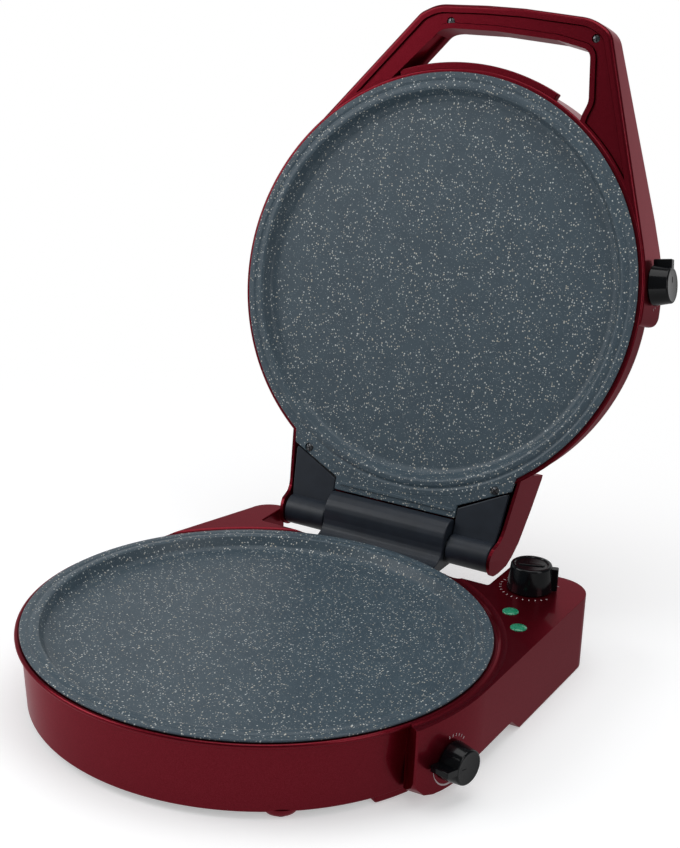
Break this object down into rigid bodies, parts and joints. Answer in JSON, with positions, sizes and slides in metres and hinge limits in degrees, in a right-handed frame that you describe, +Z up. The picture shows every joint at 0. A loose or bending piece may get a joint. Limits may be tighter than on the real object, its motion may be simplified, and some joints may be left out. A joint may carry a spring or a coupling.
{
  "type": "electric pizza maker",
  "caption": "Round countertop pizza cooker: two heated coated plates, a lid hinged at the back with a loop handle, heat knobs on base and lid, a timer and lamps.",
  "frame": {"origin": "on the table plane, under the middle of the lower plate", "axes": "+X to the control side, +Y to the hinge, +Z up; the lid stands open as pictured"},
  "size_m": [0.3473, 0.4923, 0.4432],
  "materials": {
    "housing_red": "metallic gloss",
    "plate_coating": "speckled non-stick coating",
    "black_plastic": "matte",
    "knob_black": "gloss",
    "steel": "satin",
    "bright_sheet": "bright",
    "lens_green": "clear green",
    "white_plastic": "matte",
    "rubber": "matte"
  },
  "bodies": {
    "base": {"base_shell": "housing_red", "base_floor": "black_plastic", "control_floor": "black_plastic", "post_floor": "black_plastic", "rubber_feet": "rubber", "floor_screws": "steel", "base_plate": "plate_coating", "base_heater": "steel", "base_reflector": "bright_sheet", "base_thermostat": "steel", "base_thermal_fuse": "steel", "timer_body": "steel", "power_lamp": "lens_green", "heat_lamp": "lens_green", "lamp_sockets": "white_plastic", "terminal_block": "white_plastic", "cord_gland": "black_plastic", "hinge_bracket": "steel", "hinge_bracket_screws": "steel", "hinge_pin": "steel", "hinge_cover": "black_plastic"},
    "lid": {"lid_shell": "housing_red", "handle_cover": "housing_red", "handle_screws": "steel", "lid_plate": "plate_coating", "lid_plate_screws": "steel", "left_knuckle": "black_plastic", "right_knuckle": "black_plastic", "lid_heater": "steel", "lid_reflector": "bright_sheet", "lid_thermostat": "steel", "lid_thermal_fuse": "steel"},
    "base_knob": {"base_thermostat_shaft": "steel", "base_knob": "knob_black"},
    "timer_knob": {"timer_shaft": "steel", "timer_knob": "knob_black"},
    "lid_knob": {"lid_thermostat_shaft": "steel", "lid_knob": "knob_black"}
  },
  "joints": [
    {"name": "lid_hinge", "type": "hinge", "parent": "base", "child": "lid", "pos_m": [0, 0.1895, 0.0592], "axis": [1, 0, 0], "range_deg": [0, 106.45]},
    {"name": "base_heat_turn", "type": "hinge", "parent": "base", "child": "base_knob", "pos_m": [0.16718, -0.04014, 0.0244], "axis": [0.9724, -0.2334, 0], "range_deg": [-270, 0]},
    {"name": "timer_turn", "type": "hinge", "parent": "base", "child": "timer_knob", "pos_m": [0.1309, 0.16, 0.056], "axis": [0, 0, 1], "range_deg": [-300, 0]},
    {"name": "lid_heat_turn", "type": "hinge", "parent": "lid", "child": "lid_knob", "pos_m": [0.1618, 0.27376, 0.26105], "axis": [0.9854, 0.0482, 0.1632], "range_deg": [-135, 135]}
  ]
}
